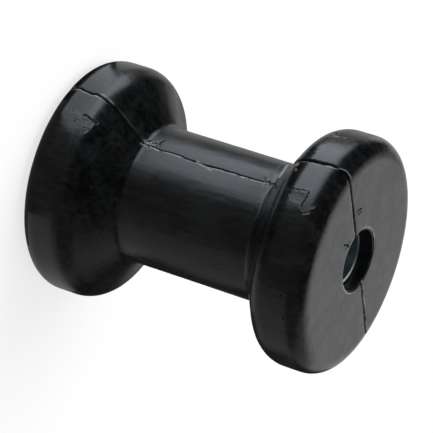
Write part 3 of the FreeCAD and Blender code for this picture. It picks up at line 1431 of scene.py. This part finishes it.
@dataclass(frozen=True)
class CollarCard:
    """A card bent round the roller as a part of a ring or cone, in millimetres and degrees."""

    card: StudioCard
    # Distance from the axis and height of its inner and of its outer edge
    inner: tuple[float, float]
    outer: tuple[float, float]
    azimuths: tuple[float, float]
    segments: int = 48

    def place(self) -> bpy.types.Object:
        """Lay the collar round the roller.

        Returns:
            The card, staged.
        """
        mesh = bmesh.new()
        start, end = (math.radians(azimuth) for azimuth in self.azimuths)
        edge = [mesh.verts.new(Vector((r, 0, up)) * MM) for r, up in (self.inner, self.outer)]
        mesh.edges.new(edge)
        bmesh.ops.rotate(
            mesh, verts=mesh.verts[:], cent=(0, 0, 0), matrix=Matrix.Rotation(start, 3, "Z")
        )
        bmesh.ops.spin(
            mesh, geom=mesh.verts[:] + mesh.edges[:], cent=(0, 0, 0), axis=(0, 0, 1),
            angle=end - start, steps=self.segments,
        )
        return self.card.stage(mesh)


@dataclass(frozen=True)
class StandingCard:
    """A card that stands on the floor between two points, in millimetres."""

    card: StudioCard
    start: tuple[float, float]
    end: tuple[float, float]
    height: float

    def place(self) -> bpy.types.Object:
        """Stand the card up.

        Returns:
            The card, staged.
        """
        mesh = bmesh.new()
        foot = [mesh.verts.new(Vector((*spot, 0)) * MM) for spot in (self.start, self.end)]
        mesh.edges.new(foot)
        made = bmesh.ops.extrude_edge_only(mesh, edges=mesh.edges[:])
        raised = [part for part in made["geom"] if isinstance(part, bmesh.types.BMVert)]
        bmesh.ops.translate(mesh, verts=raised, vec=(0, 0, self.height * MM))
        return self.card.stage(mesh)


@dataclass(frozen=True)
class Curtain:
    """A stretch of the grey dome round the studio, by the directions that it covers."""

    card: StudioCard
    azimuths: tuple[float, float]
    elevations: tuple[float, float]
    radius: float = 2500.0
    segments: int = 120

    def place(self) -> bpy.types.Object:
        """Hang the curtain.

        Returns:
            The curtain, staged.
        """
        mesh = bmesh.new()
        bmesh.ops.create_uvsphere(
            mesh, u_segments=self.segments, v_segments=self.segments // 2, radius=self.radius * MM
        )
        start, end = self.azimuths
        bottom, top = self.elevations
        gone = []
        for face in mesh.faces:
            middle = face.calc_center_median()
            azimuth = math.degrees(math.atan2(middle.y, middle.x))
            elevation = math.degrees(math.asin(middle.z / middle.length))
            if (azimuth - start) % 360 > end - start or not bottom < elevation < top:
                gone.append(face)
        bmesh.ops.delete(mesh, geom=gone, context="FACES")
        return self.card.stage(mesh)


@dataclass
class Studio:
    """Floor, lamp, cards and backdrop light round the roller."""

    floor_size: float = 6000.0
    # Strength of the world where it is seen, and as light on the object
    backdrop_white: float = 1.0
    room_light: float = 0.45
    lamp: SoftBox = SoftBox(
        "overhead_softbox", azimuth=-60, elevation=62, distance=900, width=700, height=700,
        brightness=2.2,
    )
    curtains: tuple[Curtain, ...] = (
        Curtain(StudioCard("roof_curtain", 0.03), (0, 360), (57, 90)),
        Curtain(StudioCard("right_curtain", 0.0), (-117, 0), (0, 57)),
        Curtain(StudioCard("gap_curtain", 0.3), (-131, -117), (8, 42)),
        Curtain(StudioCard("front_curtain", 0.1), (0, 150), (0, 57)),
        Curtain(StudioCard("left_curtain", 0.32), (150, 186), (0, 57)),
    )
    cards: tuple[FloorCard | CollarCard | StandingCard, ...] = (
        # Dark cloths, which gloss shows in place of the white board
        FloorCard(StudioCard("right_cloth", 0.02), ((-2400, -8, 2400), (4, -8, 2400))),
        FloorCard(StudioCard("front_cloth", 0.13), ((4, 0, 2400), (2400, 0, 2400))),
        FloorCard(StudioCard("left_cloth", 0.32), ((4, -2400, 0), (2400, -2400, 0))),
        # The panel that the long highlights mirror, cut to the shape of their edges
        FloorCard(
            StudioCard("bright_panel", 2.4, "#eef5ff"),
            (
                (-1073, 327, 1100), (-205, 100, 1100), (-105, 59, 1100), (-34, 46, 1100),
                (-10, 45, 1100), (9, 46, 1100), (15, 48, 1100), (19, 115, 1100), (29, 220, 1100),
            ),
            lift=2.0,
        ),
        # Dimmer cards beside the panel, for the greys behind the highlights
        FloorCard(StudioCard("gap_card", 0.16), ((-330, -40, 110), (-30, 20, 44)), lift=1.5),
        FloorCard(
            StudioCard("back_card", 0.58),
            ((-330, -330, -4), (-118, -330, 8), (-30, -330, 36), (-20, -330, 20)), lift=2.5,
        ),
        FloorCard(
            StudioCard("dim_card", 0.27),
            (
                (-330, -330, -165), (-187, -330, -88), (-102, -330, -45), (-68, -330, -21),
                (-47, -330, 12), (-36, -330, 21), (-30, -330, 24),
            ),
            lift=3.5,
        ),
        FloorCard(
            StudioCard("edge_cloth", 0.03),
            ((-269, -420, -328), (-31, -420, -38), (55, -420, -38)), lift=3.0,
        ),
        # Light for the waist's lower foot, then a dark notch and a light tail of the panel
        FloorCard(StudioCard("foot_card", 0.45), ((30, -62, 15), (62, -62, 15)), lift=4.0),
        FloorCard(StudioCard("notch_card", 0.1), ((4, 84, 176), (34, 84, 190)), lift=3.0),
        FloorCard(
            StudioCard("tail_card", 1.4, "#eef5ff"), ((13, 55, 68), (22, 58, 67), (33, 61, 66)),
            lift=2.2,
        ),
        # These two lie along the rays of the upright walls, so only the undercuts mirror them
        CollarCard(StudioCard("lower_collar", 0.0), (50, 9.6), (72, 1.4), (-62, 60)),
        CollarCard(StudioCard("upper_collar", 0.0), (39.4, 68), (108, 38), (-42, 60)),
        # A ring, a wall and a cloth that the lowest and the sloping skin mirror
        CollarCard(StudioCard("base_ring", 1.6, "#eef2f8"), (41, 2.2), (55, 2.2), (-35, 14)),
        CollarCard(StudioCard("panel_wall", 3.0, "#eef5ff"), (150, 0), (150, 62), (-59, 7)),
        StandingCard(StudioCard("side_cloth", 0.02), (-150, -40), (-150, 75), 100),
    )

    def lay_floor(self) -> bpy.types.Object:
        """Lay the white board that the roller stands on.

        Returns:
            The floor.
        """
        mesh = bmesh.new()
        bmesh.ops.create_grid(mesh, x_segments=1, y_segments=1, size=self.floor_size / 2 * MM)
        floor = mesh_object("floor", mesh, PaleFloor().material())
        return floor

    def light_room(self) -> None:
        """Set the world: white where it is seen or mirrored, dimmer as light on the object."""
        world = bpy.data.worlds.new("white_room")
        bpy.context.scene.world = world
        world.use_nodes = True
        tree = world.node_tree
        tree.nodes.clear()
        strength = add_node(
            tree, "ShaderNodeMapRange",
            inputs={"To Min": self.room_light, "To Max": self.backdrop_white},
            links={"Value": seeing_rays(tree)},
        ).outputs["Result"]
        white = add_node(tree, "ShaderNodeBackground", links={"Strength": strength})
        add_node(tree, "ShaderNodeOutputWorld", links={"Surface": white.outputs["Background"]})

    def build(self) -> None:
        """Set the whole studio up."""
        self.lay_floor()
        self.light_room()
        for thing in (self.lamp, *self.curtains, *self.cards):
            thing.place()
        log.info("studio: %d curtains, %d cards", len(self.curtains), len(self.cards))


@dataclass(frozen=True)
class StudioCamera:
    """The camera at the photograph's viewing angle, rolled so that the roller lies down."""

    azimuth: float = 39.3
    elevation: float = 24.75
    roll: float = 107.93
    distance: float = 815.4
    # Where the roller's middle lies off the picture's axis, to the right and down
    right: float = 0.2065
    down: float = -0.6005
    focal_pixels: float = 2566.0
    image_pixels: int = 433
    sensor: float = 36.0

    def place(self, aim: Vector) -> bpy.types.Object:
        """Add the camera and make it the scene's own.

        Args:
            aim: Middle of the roller, in millimetres.

        Returns:
            The camera's object.
        """
        back = direction(self.azimuth, self.elevation)
        level = direction(self.azimuth + 90, 0)
        across = Matrix.Rotation(math.radians(self.roll), 3, back) @ level
        upward = back.cross(across)
        data = bpy.data.cameras.new("studio_camera")
        data.sensor_width = self.sensor
        data.lens = self.focal_pixels / self.image_pixels * self.sensor
        camera = link_object("studio_camera", data)
        place = aim + back * self.distance - across * self.right + upward * self.down
        turned = Matrix((across, upward, back)).transposed().to_4x4()
        camera.matrix_world = Matrix.Translation(place * MM) @ turned
        bpy.context.scene.camera = camera
        return camera


def main() -> None:
    """Build the roller from the two CAD nodes' boxes, its studio and the camera."""
    logging.basicConfig(level=logging.INFO, format="%(name)s: %(message)s")
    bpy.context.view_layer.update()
    form = RollerForm.from_frame()
    RubberBody(form).build()
    LinerTube(form).build()
    Studio().build()
    StudioCamera().place(Vector((0, 0, form.length / 2)))
    bpy.context.scene.view_settings.view_transform = "Standard"


if __name__ == "__main__":
    main()
